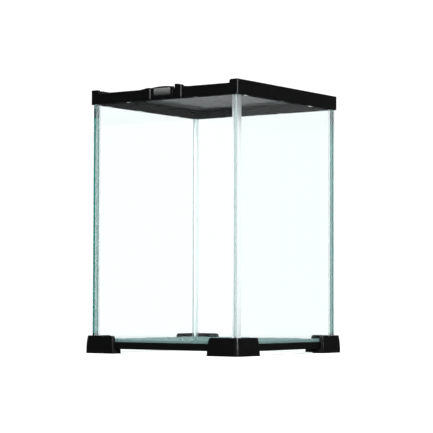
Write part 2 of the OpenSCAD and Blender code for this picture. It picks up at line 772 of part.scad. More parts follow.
// Latch plate: it hangs from its two barrels, and its lower edge hooks under the catch rib
module latch_plate()
    color(plastic_colour) translate([latch_x, 0, 0]) difference() {
        union() {
            intersection() {
                along_y(-plate_front - cut, -plate_back) plate_outline();
                bow_cylinder(bow_r);
            }
            for (s = [-1, 1]) scale_sign(s, [1, 0, 0])
                translate([0, -latch_pin_y, latch_pin_z])
                    rod(latch_barrel_r, plate_barrel_x, plate_w/2);
        }
        difference() {
            along_y(-plate_front - 2*cut, -plate_back) badge_outline();
            bow_cylinder(bow_r - badge_seat);
        }
        translate([-catch_w/2 - catch_end_gap, -recess_y - catch_out - catch_gap, catch_z - catch_gap])
            cube([catch_w + 2*catch_end_gap, catch_out + latch_recess, catch_t + catch_gap + catch_room]);
        translate([0, -latch_pin_y, latch_pin_z]) {
            rod(relief_r, -lug_x - barrel_gap, lug_x + barrel_gap);
            rod(latch_pin_r + turn_fit, -plate_w/2 - cut, plate_w/2 + cut);
            translate([lug_x - spring_room, -coil_r - wire_d/2, 0])
                cube([spring_room + barrel_gap, 2*coil_r, latch_barrel_r + 2*cut]);
        }
    }

// Bare badge on the latch plate
module latch_badge()
    color(badge_colour) translate([latch_x, 0, 0]) difference() {
        badge_block(bow_r + badge_out);
        bow_cylinder(bow_r - badge_seat);
    }

module latch_pin()
    color(steel_colour) translate([latch_x, -latch_pin_y, latch_pin_z])
        rod(latch_pin_r, pin_inset - plate_w/2, plate_w/2 - pin_inset);

// Points along the spring's wire, about the latch pin: a leg on the lid, the turns, and a leg up the plate
wire_pitch = wire_d + wire_gap;
leg_drop = asin((latch_pin_z + coil_r - end_bar_top - wire_d/2)/(lid_leg_l + coil_r));
coil_start = 90 - leg_drop;
coil_turn = 360*spring_turns + 90 + leg_drop;
coil_steps = ceil(wire_steps*coil_turn/360);
function on_coil(turn) =
    let (a = coil_start + turn)
    [lug_x - barrel_side_gap/2 - wire_d/2 - (coil_turn - turn)/360*wire_pitch,
     coil_r*cos(a), coil_r*sin(a)];
function wire_path() = concat(
    [on_coil(0) + lid_leg_l*[0, cos(leg_drop), -sin(leg_drop)]],
    [for (i = [0:coil_steps]) on_coil(i*coil_turn/coil_steps)],
    [on_coil(coil_turn) + [0, 0, plate_leg_l]]);

// A round wire along a path whose turns lie about the x axis
module wire(path, d, sides) {
    last = len(path) - 1;
    rings = [for (i = [0:last])
        let (t = path[min(i + 1, last)] - path[max(i - 1, 0)],
             a = cross(t, [1, 0, 0])/norm(cross(t, [1, 0, 0])),
             b = cross(t, a)/norm(cross(t, a)))
        for (k = [0:sides - 1])
            path[i] + d/2*(cos(360*k/sides)*a + sin(360*k/sides)*b)];
    polyhedron(rings, concat(
        [[for (k = [0:sides - 1]) k]],
        [for (i = [0:last - 1], k = [0:sides - 1])
            [i*sides + k, (i + 1)*sides + k,
             (i + 1)*sides + (k + 1)%sides, i*sides + (k + 1)%sides]],
        [[for (k = [0:sides - 1]) last*sides + sides - 1 - k]]));
}

module latch_spring()
    color(steel_colour) translate([latch_x, -latch_pin_y, latch_pin_z]) wire(wire_path(), wire_d, wire_sides);

front_glass();
rear_glass();
left_glass();
right_glass();
floor_glass();
seam_front_left();
seam_front_right();
seam_rear_left();
seam_rear_right();
floor_seam();
base_frame();
base_bedding();
foot_front_left();
foot_front_right();
foot_rear_left();
foot_rear_right();
top_frame();
top_bedding();
hinge_pin();
lid_frame();
lid_mesh();
mesh_retainer();
retainer_screws();
latch_plate();
latch_badge();
latch_pin();
latch_spring();
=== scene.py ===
import math

import bmesh
import bpy
from mathutils import Euler, Matrix, Vector
from mathutils.bvhtree import BVHTree


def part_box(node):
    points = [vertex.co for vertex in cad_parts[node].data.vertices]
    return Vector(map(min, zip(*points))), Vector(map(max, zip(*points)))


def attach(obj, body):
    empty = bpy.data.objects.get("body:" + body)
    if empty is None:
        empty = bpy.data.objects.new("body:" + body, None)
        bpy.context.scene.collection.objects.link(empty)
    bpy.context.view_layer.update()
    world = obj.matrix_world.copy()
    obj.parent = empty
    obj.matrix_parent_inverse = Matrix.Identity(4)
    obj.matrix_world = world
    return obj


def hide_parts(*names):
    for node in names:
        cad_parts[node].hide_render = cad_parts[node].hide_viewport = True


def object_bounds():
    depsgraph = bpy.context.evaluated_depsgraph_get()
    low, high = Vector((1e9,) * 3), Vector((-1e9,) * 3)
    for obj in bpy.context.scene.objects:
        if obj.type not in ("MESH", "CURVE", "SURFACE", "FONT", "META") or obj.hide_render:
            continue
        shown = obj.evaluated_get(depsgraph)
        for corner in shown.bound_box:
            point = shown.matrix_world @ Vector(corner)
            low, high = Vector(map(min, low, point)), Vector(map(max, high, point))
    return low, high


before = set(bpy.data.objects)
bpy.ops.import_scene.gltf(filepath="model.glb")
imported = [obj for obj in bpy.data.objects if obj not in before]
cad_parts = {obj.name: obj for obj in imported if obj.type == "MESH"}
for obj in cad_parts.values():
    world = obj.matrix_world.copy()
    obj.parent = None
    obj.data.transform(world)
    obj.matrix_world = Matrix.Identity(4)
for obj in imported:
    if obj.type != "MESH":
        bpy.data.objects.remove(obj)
cad_lo, cad_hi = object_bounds()


# Camera. It stands at the front right, at about a fifth of the tank's height, and looks up by a few degrees,
# so that the lid is seen from below and the floor nearly on edge. A long lens keeps the uprights parallel.
MM = 0.001
EYE = Vector((1180.58, -1659.60, 61.49)) * MM
EYE_YAW, EYE_PITCH, EYE_ROLL = 35.382, 2.688, 0.170
LENS_MM = 146.75

eye_turn = Euler((math.radians(90 + EYE_PITCH), 0, math.radians(EYE_YAW))).to_matrix()
eye_turn @= Matrix.Rotation(math.radians(EYE_ROLL), 3, "Z")
camera_data = bpy.data.cameras.new("camera")
camera_data.lens = LENS_MM
camera = bpy.data.objects.new("camera", camera_data)
camera.matrix_world = Matrix.Translation(EYE) @ eye_turn.to_4x4()
bpy.context.scene.collection.objects.link(camera)
bpy.context.scene.camera = camera


# Studio. A plain white table with a white backdrop behind it, in a plain dim room, lit by one soft box
# overhead and one beside the camera. Light that runs along inside the panes is followed to their far edge.
TABLE_SIZE = 12.0
TABLE_COLOUR = (0.82, 0.82, 0.82, 1)
TABLE_LIFT = 0.5
TABLE_NEAR, TABLE_FAR = 0.35, 1.1
ROOM_LEVEL = 0.42
WHITE = (1, 1, 1, 1)
WHITE_LEVEL = 1.14
WALL_SHEEN, CEILING_SHEEN, TABLE_SHEEN = 0.05, 0.1, 0.08
CEILING_LOW, CEILING_HIGH = 0.25, 0.8
BACKDROP_DIRECTION = Vector((-0.58, 0.81, 0.0))
BACKDROP_EDGE, BACKDROP_FULL = 0.62, 0.80
ABOVE, ABOVE_SIZE, ABOVE_WATTS = (0.5, -0.6, 1.8), (1.0, 1.0), 20
BESIDE, BESIDE_SIZE, BESIDE_WATTS = (1.45, -1.2, 0.85), (0.5, 1.2), 40
GLASS_BOUNCES = 64

render = bpy.context.scene.cycles
render.max_bounces = GLASS_BOUNCES
render.glossy_bounces = GLASS_BOUNCES
render.transmission_bounces = GLASS_BOUNCES
render.transparent_max_bounces = GLASS_BOUNCES
bpy.context.scene.view_settings.view_transform = "Standard"


def add_node(tree, kind, settings=None, **inputs):
    """A node of a finish or of the room. An input is a number, a colour or another node's output."""
    node = tree.nodes.new(kind)
    for key, value in (settings or {}).items():
        setattr(node, key, value)
    for key, value in inputs.items():
        socket = node.inputs[int(key[1:]) if key[1:].isdigit() else key.replace("_", " ")]
        if isinstance(value, bpy.types.NodeSocket):
            tree.links.new(value, socket)
        else:
            socket.default_value = value
    return node


def worked_out(tree, operation, a, b=0.0):
    return add_node(tree, "ShaderNodeMath", {"operation": operation}, i0=a, i1=b).outputs[0]


def worked_out_along(tree, operation, a, b=(0, 0, 0)):
    """The same for directions and places: a number where the operation gives one, else a direction"""
    outputs = add_node(tree, "ShaderNodeVectorMath", {"operation": operation}, i0=a, i1=b).outputs
    return outputs["Value" if operation in ("DOT_PRODUCT", "LENGTH") else "Vector"]


def spread(tree, value, low, high, to_low=0.0, to_high=1.0, curve="LINEAR"):
    """The value's span from low to high, stretched to run from to_low to to_high"""
    return add_node(tree, "ShaderNodeMapRange", {"interpolation_type": curve}, Value=value, From_Min=low,
                    From_Max=high, To_Min=to_low, To_Max=to_high).outputs[0]


def mixed_shader(tree, share, first, second):
    return add_node(tree, "ShaderNodeMixShader", i0=share, i1=first, i2=second).outputs[0]


def glow(tree, level):
    return add_node(tree, "ShaderNodeEmission", Color=WHITE, Strength=level).outputs[0]


def open_tree(owner):
    owner.use_nodes = True
    owner.node_tree.nodes.clear()
    return owner.node_tree


def add_room():
    """White for what is seen straight or through glass, and pale walls, a paler ceiling and the white
    backdrop for what is seen as a reflection"""
    world = bpy.data.worlds.new("room")
    bpy.context.scene.world = world
    tree = open_tree(world)
    rays = add_node(tree, "ShaderNodeLightPath").outputs
    straight = worked_out(tree, "MAXIMUM", rays["Is Camera Ray"], rays["Is Transmission Ray"])
    toward = add_node(tree, "ShaderNodeTexCoord").outputs["Generated"]
    height = add_node(tree, "ShaderNodeSeparateXYZ", Vector=toward).outputs["Z"]
    facing = worked_out_along(tree, "DOT_PRODUCT", toward, BACKDROP_DIRECTION)
    ceiling = spread(tree, height, CEILING_LOW, CEILING_HIGH, WALL_SHEEN, CEILING_SHEEN, "SMOOTHSTEP")
    backdrop = spread(tree, facing, BACKDROP_EDGE, BACKDROP_FULL, 0.0, WHITE_LEVEL, "SMOOTHSTEP")
    mirrored = worked_out(tree, "MAXIMUM", ceiling, backdrop)
    plain = add_node(tree, "ShaderNodeBackground", Color=WHITE, Strength=ROOM_LEVEL).outputs[0]
    sheen = add_node(tree, "ShaderNodeBackground", Color=WHITE, Strength=mirrored).outputs[0]
    white = add_node(tree, "ShaderNodeBackground", Color=WHITE, Strength=WHITE_LEVEL).outputs[0]
    unseen = mixed_shader(tree, rays["Is Glossy Ray"], plain, sheen)
    add_node(tree, "ShaderNodeOutputWorld", Surface=mixed_shader(tree, straight, unseen, white))


def table_paper():
    """Matt white paper. Near the tank it keeps the tank's shadow, and further off it runs into white."""
    finish = bpy.data.materials.new("table_paper")
    tree = open_tree(finish)
    place = add_node(tree, "ShaderNodeTexCoord").outputs["Object"]
    far = spread(tree, worked_out_along(tree, "LENGTH", place), TABLE_NEAR, TABLE_FAR, curve="SMOOTHSTEP")
    rays = add_node(tree, "ShaderNodeLightPath").outputs
    straight = worked_out(tree, "MAXIMUM", rays["Is Camera Ray"], rays["Is Transmission Ray"])
    paper = add_node(tree, "ShaderNodeBsdfDiffuse", Color=TABLE_COLOUR).outputs[0]
    lifted = add_node(tree, "ShaderNodeAddShader", i0=paper, i1=glow(tree, TABLE_LIFT)).outputs[0]
    shaded = mixed_shader(tree, rays["Is Camera Ray"], paper, lifted)
    seen = mixed_shader(tree, far, shaded, glow(tree, WHITE_LEVEL))
    unseen = mixed_shader(tree, rays["Is Glossy Ray"], paper, glow(tree, TABLE_SHEEN))
    add_node(tree, "ShaderNodeOutputMaterial", Surface=mixed_shader(tree, straight, unseen, seen))
    return finish


def add_soft_box(name, place, size, watts):
    lamp = bpy.data.lights.new(name, "AREA")
    lamp.shape = "RECTANGLE"
    lamp.size, lamp.size_y = size
    lamp.energy = watts
    holder = bpy.data.objects.new(name, lamp)
    holder.location = place
    holder.rotation_euler = (Vector((0, 0, cad_hi.z / 2)) - Vector(place)).to_track_quat("-Z", "Y").to_euler()
    bpy.context.scene.collection.objects.link(holder)


add_room()
bpy.ops.mesh.primitive_plane_add(size=TABLE_SIZE)
table = bpy.context.object
table.name = "table"
table.data.materials.append(table_paper())
add_soft_box("soft_box_above", ABOVE, ABOVE_SIZE, ABOVE_WATTS)
add_soft_box("soft_box_beside_camera", BESIDE, BESIDE_SIZE, BESIDE_WATTS)


# Glass panes. Five sheets of 4 mm float glass, cut square, with every edge ground to a small flat arris.
# Four stand on edge round the floor pane. The iron in the glass shows only along a sheet, as green in its
# edges.
ARRIS = 0.4 * MM
WETTED = 0.015 * MM
GLASS_IOR = 1.52
GLASS_TINT = (0.25, 0.25, 0.25, 1)
GLASS_FACE = (0.999, 0.998, 0.998, 1)
GLASS_WITHIN = (0.03, 0.53, 0.495, 1)
GLASS_DENSITY = 15.0
SMEAR_SCALE, SMEAR_DETAIL = 18.0, 3.0
SMEAR_LOW, SMEAR_HIGH = 0.55, 0.8
SMEAR_ROUGHNESS, EDGE_ROUGHNESS, ARRIS_ROUGHNESS = 0.012, 0.03, 0.3


def place_on_piece(tree):
    return add_node(tree, "ShaderNodeTexCoord").outputs["Object"]


def unevenness(tree, place, scale, detail):
    """A value that wanders about a half from place to place, faster with a larger scale"""
    return add_node(tree, "ShaderNodeTexNoise", Vector=place, Scale=scale, Detail=detail).outputs[0]


def painted_on_faces(tree, name):
    """The value that a mesh's own faces carry under that name, or nothing where they carry none"""
    return add_node(tree, "ShaderNodeAttribute", {"attribute_name": name}).outputs["Fac"]


def let_light_through(tree, surface, clear_colour=WHITE):
    """The surface as the camera sees it, but clear to light that falls through it onto other pieces"""
    rays = add_node(tree, "ShaderNodeLightPath").outputs
    falling = worked_out(tree, "MAXIMUM", rays["Is Shadow Ray"], rays["Is Diffuse Ray"])
    clear = add_node(tree, "ShaderNodeBsdfTransparent", Color=clear_colour).outputs[0]
    return mixed_shader(tree, falling, surface, clear)


def float_glass():
    """Clear on its faces, with a few wiped marks, a little dull on its edges and frosted on its arrises"""
    finish = bpy.data.materials.new("float_glass")
    tree = open_tree(finish)
    wiped = unevenness(tree, place_on_piece(tree), SMEAR_SCALE, SMEAR_DETAIL)
    marks = spread(tree, wiped, SMEAR_LOW, SMEAR_HIGH, 0.0, SMEAR_ROUGHNESS)
    roughness = worked_out(tree, "ADD", marks, painted_on_faces(tree, "ground"))
    body = add_node(tree, "ShaderNodeBsdfPrincipled", Base_Color=GLASS_FACE, Roughness=roughness,
                    IOR=GLASS_IOR, Transmission_Weight=1.0, Specular_Tint=GLASS_TINT).outputs[0]
    within = add_node(tree, "ShaderNodeVolumeAbsorption", Color=GLASS_WITHIN, Density=GLASS_DENSITY)
    add_node(tree, "ShaderNodeOutputMaterial", Surface=let_light_through(tree, body),
             Volume=within.outputs[0])
    return finish


def add_piece(name, mesh, finish, body, node):
    """Puts a mesh in the scene as a piece that rides on a body and stands for the named node"""
    mesh.materials.append(finish)
    piece = bpy.data.objects.new(name, mesh)
    bpy.context.scene.collection.objects.link(piece)
    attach(piece, body)
    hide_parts(node)
    return piece


def to_mesh(bm, name):
    mesh = bpy.data.meshes.new(name)
    bm.to_mesh(mesh)
    bm.free()
    return mesh


def sheet_of_glass(node):
    """A sheet with ground arrises. It is wetted by the silicone round it, so it reaches a hair into it."""
    lo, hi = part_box(node)
    size = hi - lo + 2 * Vector((WETTED,) * 3)
    bm = bmesh.new()
    bmesh.ops.create_cube(bm, size=1)
    bmesh.ops.scale(bm, vec=size, verts=bm.verts)
    bmesh.ops.translate(bm, vec=(lo + hi) / 2, verts=bm.verts)
    ground = bm.faces.layers.float.new("ground")
    across = min(range(3), key=lambda axis: size[axis])
    for face in bm.faces:
        face[ground] = 0.0 if round(face.normal[across]) else EDGE_ROUGHNESS
    arrises = bmesh.ops.bevel(bm, geom=bm.edges[:], offset=ARRIS, segments=1, affect="EDGES")
    for face in arrises["faces"]:
        face[ground] = ARRIS_ROUGHNESS
    return to_mesh(bm, node)


glass = float_glass()
for pane in ("floor_glass", "rear_glass", "left_glass", "right_glass", "front_glass"):
    add_piece(pane + "_pane", sheet_of_glass(pane), glass, "tank", pane)


# Upright seams. Clear silicone fills the joint between two panes and is smoothed with a wetted finger into a
# hollow fillet inside the corner. The finger's pressure varies, so the fillet is a little wavy.
SEAM_LEG, SEAM_SIDE_LEG = 4.2 * MM, 6.6 * MM
SEAM_WAVE = 0.015
SEAM_STEP = 6 * MM
WAVELENGTHS = (71 * MM, 33 * MM, 18.5 * MM)
WAVE_START, WAVE_START_SPREAD = 2, 9 * MM
FILLET_POINTS = 9
FILLET_FULLNESS = 1.6
BEAD_CREASE = 40
SILICONE_IOR = 1.5
CLEAR_COLOUR = (0.965, 0.985, 0.98, 1)
CLEAR_CLARITY, CLEAR_SMOOTH, CLEAR_ROUGH = 0.985, 0.01, 0.04
DRAGGED_ROUGHNESS = 0.34
DRAG_SCALE, DRAG_DETAIL, DRAG_DEPTH = 160.0, 3.0, 0.1 * MM
PATCHY_LOW, PATCHY_HIGH = 0.3, 0.7


def patchy(tree, uneven, least, most):
    """A finish's value that goes from least to most as the unevenness goes from its usual low to its high"""
    return spread(tree, uneven, PATCHY_LOW, PATCHY_HIGH, least, most)


def relief(tree, height, strength, depth):
    return add_node(tree, "ShaderNodeBump", Height=height, Strength=strength, Distance=depth).outputs[0]


def silicone_rubber(name, colour, clarity, smooth, rough):
    """Silicone rubber with a soft wet shine and the drag marks of the finger. clarity is the share of light
    that goes through it, and smooth and rough are the ends of its roughness."""
    finish = bpy.data.materials.new(name)
    tree = open_tree(finish)
    drag = unevenness(tree, place_on_piece(tree), DRAG_SCALE, DRAG_DETAIL)
    roughness = worked_out(tree, "ADD", patchy(tree, drag, smooth, rough), painted_on_faces(tree, "dragged"))
    body = add_node(tree, "ShaderNodeBsdfPrincipled", Base_Color=colour, Roughness=roughness,
                    IOR=SILICONE_IOR, Transmission_Weight=clarity, Specular_Tint=GLASS_TINT,
                    Normal=relief(tree, drag, rough / 2, DRAG_DEPTH)).outputs[0]
    add_node(tree, "ShaderNodeOutputMaterial", Surface=let_light_through(tree, body, colour))
    return finish


def wander(along, seed):
    """A smooth wander between -1 and 1 with the distance along a bead. Each seed gives another one."""
    return sum(math.sin(2 * math.pi * along / length + seed * (WAVE_START + length / WAVE_START_SPREAD))
               for length in WAVELENGTHS) / len(WAVELENGTHS)


def fillet_outline(leg):
    """Points of a hollow fillet in the corner of two panes, from one pane to the other"""
    hollow = FILLET_FULLNESS * leg
    radius = math.hypot(hollow, hollow - leg)
    first = math.atan2(-hollow, leg - hollow)
    last = math.atan2(leg - hollow, -hollow)
    turns = [first + ((last - first) % (-2 * math.pi)) * k / (FILLET_POINTS - 1)
             for k in range(FILLET_POINTS)]
    return [(hollow + radius * math.cos(t), hollow + radius * math.sin(t)) for t in turns]


def skin_over(bm, rings, closed=False):
    """Faces over rings of points, closed on itself as a loop or capped at both ends"""
    loops = [[bm.verts.new(point) for point in ring] for ring in rings]
    count = len(loops[0])
    for low, high in zip(loops, loops[1:] + loops[:1] if closed else loops[1:]):
        for k in range(count):
            bm.faces.new((low[k], low[(k + 1) % count], high[(k + 1) % count], high[k]))
    if not closed:
        bm.faces.new(loops[0][::-1])
        bm.faces.new(loops[-1])


def smooth_mesh(bm, name, crease):
    """The mesh with smooth shading, apart from the edges that turn by more than crease degrees"""
    bmesh.ops.recalc_face_normals(bm, faces=bm.faces)
    for face in bm.faces:
        face.smooth = True
    mesh = to_mesh(bm, name)
    mesh.set_sharp_from_angle(angle=math.radians(crease))
    return mesh


def upright_seam(node, side_x, side_y, seed):
    """The strip between the two pane edges, over their whole height, and the fillet from the floor to the
    rim. Only the fillet's free face is dull, and what touches the glass is wetted smooth."""
    pane_lo, pane_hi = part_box("front_glass")
    inner_x, inner_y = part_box("right_glass")[0].x, -pane_hi.y
    floor_top, rim_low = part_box("floor_glass")[1].z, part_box("top_frame")[0].z
    bm = bmesh.new()
    strip = [(pane_hi.x - WETTED, inner_y), (pane_hi.x - WETTED, -pane_lo.y - ARRIS),
             (inner_x + WETTED, -pane_lo.y - ARRIS), (inner_x + WETTED, inner_y)]
    skin_over(bm, [[(side_x * x, side_y * y, z) for x, y in strip] for z in (pane_lo.z, pane_hi.z)])
    steps = round((rim_low - floor_top) / SEAM_STEP)
    rings = []
    for k in range(steps + 1):
        z = floor_top + (rim_low - floor_top) * k / steps
        swell = 1 + SEAM_WAVE * (wander(z, seed) - 1)
        outline = [(x * SEAM_LEG * swell, y * SEAM_SIDE_LEG * swell) for x, y in fillet_outline(1)]
        wetted = [(outline[0][0], -WETTED)] + outline + [(-WETTED, outline[-1][1]), (-WETTED, -WETTED)]
        rings.append([(side_x * (inner_x - x), side_y * (inner_y - y), z) for x, y in wetted])
    skin_over(bm, rings)
    dragged = bm.faces.layers.float.new("dragged")
    for face in bm.faces:
        centre = face.calc_center_median()
        free = inner_x - abs(centre.x) > WETTED and inner_y - abs(centre.y) > WETTED
        face[dragged] = DRAGGED_ROUGHNESS if free else 0.0
    return smooth_mesh(bm, node, BEAD_CREASE)


clear_silicone = silicone_rubber("clear_silicone", CLEAR_COLOUR, CLEAR_CLARITY, CLEAR_SMOOTH, CLEAR_ROUGH)
corners = {"front_left": (-1, -1), "front_right": (1, -1), "rear_left": (-1, 1), "rear_right": (1, 1)}
for seed, (corner, (side_x, side_y)) in enumerate(corners.items()):
    node = "seam_" + corner
    seam = upright_seam(node, side_x, side_y, seed)
    add_piece(node + "_silicone", seam, clear_silicone, "tank", node)


# Floor seam. A cloudier silicone fills the joint round the floor pane, and a smaller fillet on top of it is
# laid in one pass all the way round.
FLOOR_LEG = 3.6 * MM
FLOOR_WAVE = 0.4 * MM
FLOOR_SEED = 11
BEAD_STEP = 5 * MM
CLOUDY_COLOUR = (0.26, 0.39, 0.38, 1)
CLOUDY_CLARITY, CLOUDY_SMOOTH, CLOUDY_ROUGH = 0.35, 0.1, 0.3


def bead_round(bm, half_x, half_y, section):
    """A bead along the four sides of a rectangle. section gives its points as distances inwards and heights,
    from the distance along the bead and the distance to the nearest corner."""
    rings = []
    for turn in range(4):
        half, wall = (half_x, half_y) if turn % 2 == 0 else (half_y, half_x)
        steps = round(2 * half / BEAD_STEP)
        for k in range(steps):
            along = 2 * half * k / steps - half
            points = section(along + 2 * half * turn, half - abs(along))
            rings.append([Matrix.Rotation(turn * math.pi / 2, 3, "Z")
                          @ Vector((along * (half - inwards) / half, inwards - wall, z))
                          for inwards, z in points])
    skin_over(bm, rings, closed=True)


def floor_seam():
    floor_lo, floor_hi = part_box("floor_glass")
    half_x, half_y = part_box("right_glass")[0].x, -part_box("front_glass")[1].y
    joint = half_x - floor_hi.x

    def section(along, to_corner):
        steady = min(1, to_corner / SEAM_LEG)
        outline = fillet_outline(FLOOR_LEG + FLOOR_WAVE * (wander(along, FLOOR_SEED) - 1) * steady)
        return ([(-WETTED, floor_lo.z), (-WETTED, floor_hi.z + outline[-1][1])]
                + [(inwards, floor_hi.z + up) for inwards, up in reversed(outline)]
                + [(outline[0][0], floor_hi.z - WETTED), (joint + WETTED, floor_hi.z - WETTED),
                   (joint + WETTED, floor_lo.z)])

    bm = bmesh.new()
    bead_round(bm, half_x, half_y, section)
    return smooth_mesh(bm, "floor_seam", BEAD_CREASE)


cloudy_silicone = silicone_rubber("cloudy_silicone", CLOUDY_COLOUR, CLOUDY_CLARITY, CLOUDY_SMOOTH,
                                  CLOUDY_ROUGH)
add_piece("floor_seam_silicone", floor_seam(), cloudy_silicone, "tank", "floor_seam")


# Base frame. A strip frame moulded in black ABS, with a wall round the foot of the glass and a ledge under
# it. The mould leaves a fine grain, coarser on the faces that look inwards or down, and edges that are never
# sharp.
EDGE_R = 0.28 * MM
EDGE_SEGMENTS, ROUND_PROFILE = 2, 0.5
SHARP_ANGLE, FLAT_ANGLE = math.radians(28), math.radians(0.5)
WELD = 0.001 * MM
MOULD_CREASE = 50
ABS_BLACK = (0.0019, 0.0019, 0.0021, 1)
ABS_WORN = (0.006, 0.006, 0.0065, 1)
GRAIN_SCALE, GRAIN_DETAIL, GRAIN_STRENGTH = 2600.0, 2.0, 0.6
PATCH_SCALE, PATCH_DETAIL = 60.0, 3.0
SMOOTHER, ROUGHER = 0.04, 0.06
COARSE = 0.8
INWARD_FROM, INWARD_FULL = -20 * MM, -60 * MM
DOWN_FROM, DOWN_FULL = -0.3, -0.8
WEAR_REACH, WEAR_SAMPLES = 0.5 * MM, 4
WEAR_FROM, WEAR_FULL = 0.99, 0.86
RIM_ROUGHNESS, RIM_GRAIN, RIM_SHINE = 0.32, 0.03 * MM, 0.32


def moulded_abs(name, roughness, grain, shine):
    """Black ABS. grain is the depth of the mould's texture, and shine the strength of reflections."""
    finish = bpy.data.materials.new(name)
    tree = open_tree(finish)
    coordinates = add_node(tree, "ShaderNodeTexCoord").outputs
    place, facing = coordinates["Object"], coordinates["Normal"]
    sideways = worked_out_along(tree, "MULTIPLY", facing, (1, 1, 0))
    outward = worked_out_along(tree, "DOT_PRODUCT", sideways, place)
    upward = add_node(tree, "ShaderNodeSeparateXYZ", Vector=facing).outputs["Z"]
    coarse = worked_out(tree, "MAXIMUM", spread(tree, outward, INWARD_FROM, INWARD_FULL, 0.0, COARSE),
                        spread(tree, upward, DOWN_FROM, DOWN_FULL, 0.0, COARSE))
    fine = unevenness(tree, place, GRAIN_SCALE, GRAIN_DETAIL)
    patches = unevenness(tree, place, PATCH_SCALE, PATCH_DETAIL)
    rounded = add_node(tree, "ShaderNodeBevel", {"samples": WEAR_SAMPLES}, Radius=WEAR_REACH).outputs[0]
    flat = add_node(tree, "ShaderNodeNewGeometry").outputs["Normal"]
    edge = spread(tree, worked_out_along(tree, "DOT_PRODUCT", rounded, flat), WEAR_FROM, WEAR_FULL)
    worn = worked_out(tree, "MULTIPLY", edge, patches)
    colour = add_node(tree, "ShaderNodeMix", {"data_type": "RGBA"}, Factor=worn, i6=ABS_BLACK, i7=ABS_WORN)
    satin = patchy(tree, patches, roughness - SMOOTHER, roughness + ROUGHER)
    body = add_node(tree, "ShaderNodeBsdfPrincipled", Base_Color=colour.outputs[2],
                    Roughness=worked_out(tree, "MAXIMUM", satin, coarse), Specular_IOR_Level=shine,
                    Normal=relief(tree, fine, GRAIN_STRENGTH, grain))
    add_node(tree, "ShaderNodeOutputMaterial", Surface=body.outputs[0])
    return finish


def moulded_mesh(node, edge_r, shaping=None):
    """The node's own shape with every sharp edge rounded, as it leaves a mould. A point that the rounding
    throws out where many edges meet goes back onto the shape. shaping, if any, bends the shape beforehand."""
    bm = bmesh.new()
    bm.from_mesh(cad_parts[node].data)
    bmesh.ops.remove_doubles(bm, verts=bm.verts, dist=WELD)
    bmesh.ops.dissolve_limit(bm, angle_limit=FLAT_ANGLE, verts=bm.verts, edges=bm.edges)
    if shaping:
        shaping(bm, *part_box(node))
    shape = BVHTree.FromBMesh(bm)
    sharp = [e for e in bm.edges if e.calc_face_angle(0) > SHARP_ANGLE]
    bmesh.ops.bevel(bm, geom=sharp, offset=edge_r, segments=EDGE_SEGMENTS, profile=ROUND_PROFILE,
                    affect="EDGES", clamp_overlap=False)
    for v in bm.verts:
        nearest, _, _, distance = shape.find_nearest(v.co)
        if distance > edge_r:
            v.co = nearest
    return smooth_mesh(bm, node, MOULD_CREASE)


def add_moulding(name, node, finish, body, edge_r=EDGE_R, shaping=None):
    piece = add_piece(name, moulded_mesh(node, edge_r, shaping), finish, body, node)
    flats = piece.modifiers.new("flats", "WEIGHTED_NORMAL")
    flats.keep_sharp = True


grained_abs = moulded_abs("grained_abs", RIM_ROUGHNESS, RIM_GRAIN, RIM_SHINE)
add_moulding("base_frame_strip", "base_frame", grained_abs, "tank")


# Bedding. The panes and the floor are set in the base frame, and the rim on the panes, in milky silicone. It
# stands up between the frame's wall and the glass below, and was squeezed out here and there under the rim.
BED_WAVE = 0.5 * MM
BED_HIDDEN, BED_INSIDE = 0.6 * MM, 1.6 * MM
SQUEEZED, SQUEEZED_FROM = 2.4 * MM, 0.25
BASE_SEED, TOP_SEED = 5, 3
MILKY_COLOUR = (0.82, 0.86, 0.86, 1)
MILKY_CLARITY, MILKY_SMOOTH, MILKY_ROUGH = 0.15, 0.25, 0.45


def base_bedding():
    bed_lo, bed_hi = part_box("base_bedding")
    glass_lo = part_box("left_glass")[0]
    gap = glass_lo.x - bed_lo.x
    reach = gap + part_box("floor_glass")[0].x - glass_lo.x + SEAM_LEG

    def section(along, to_corner):
        top = bed_hi.z + BED_WAVE * (wander(along, BASE_SEED) - 1) / 2
        return [(0, bed_lo.z), (0, top), (gap + WETTED, top), (gap + WETTED, glass_lo.z + WETTED),
                (reach, glass_lo.z + WETTED), (reach, bed_lo.z)]

    bm = bmesh.new()
    bead_round(bm, -bed_lo.x, -bed_lo.y, section)
    return smooth_mesh(bm, "base_bedding", BEAD_CREASE)


def top_bedding():
    bed_lo, bed_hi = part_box("top_bedding")
    pane_lo, pane_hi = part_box("left_glass")
    rim_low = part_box("top_frame")[0].z
    gap = pane_lo.x - bed_lo.x
    inside = gap + pane_hi.x - pane_lo.x

    def section(along, to_corner):
        low = rim_low + BED_HIDDEN - SQUEEZED * max(0, wander(along, TOP_SEED) - SQUEEZED_FROM)
        return [(0, low), (0, bed_hi.z), (inside + gap, bed_hi.z), (inside + gap, rim_low + BED_INSIDE),
                (inside - WETTED, rim_low + BED_INSIDE), (inside - WETTED, pane_hi.z - WETTED),
                (gap + WETTED, pane_hi.z - WETTED), (gap + WETTED, low)]

    bm = bmesh.new()
    bead_round(bm, -bed_lo.x, -bed_lo.y, section)
    return smooth_mesh(bm, "top_bedding", BEAD_CREASE)


milky_silicone = silicone_rubber("milky_silicone", MILKY_COLOUR, MILKY_CLARITY, MILKY_SMOOTH, MILKY_ROUGH)
add_piece("base_bedding_silicone", base_bedding(), milky_silicone, "tank", "base_bedding")
add_piece("top_bedding_silicone", top_bedding(), milky_silicone, "tank", "top_bedding")


# Feet. Four corner feet moulded in black ABS, tapered so that they leave the mould, and pressed on from
# below. Their outer sides swell a little between the ground and the top.
FOOT_EDGE_R = 0.4 * MM
SWELL = 0.5 * MM
SLICES = 6


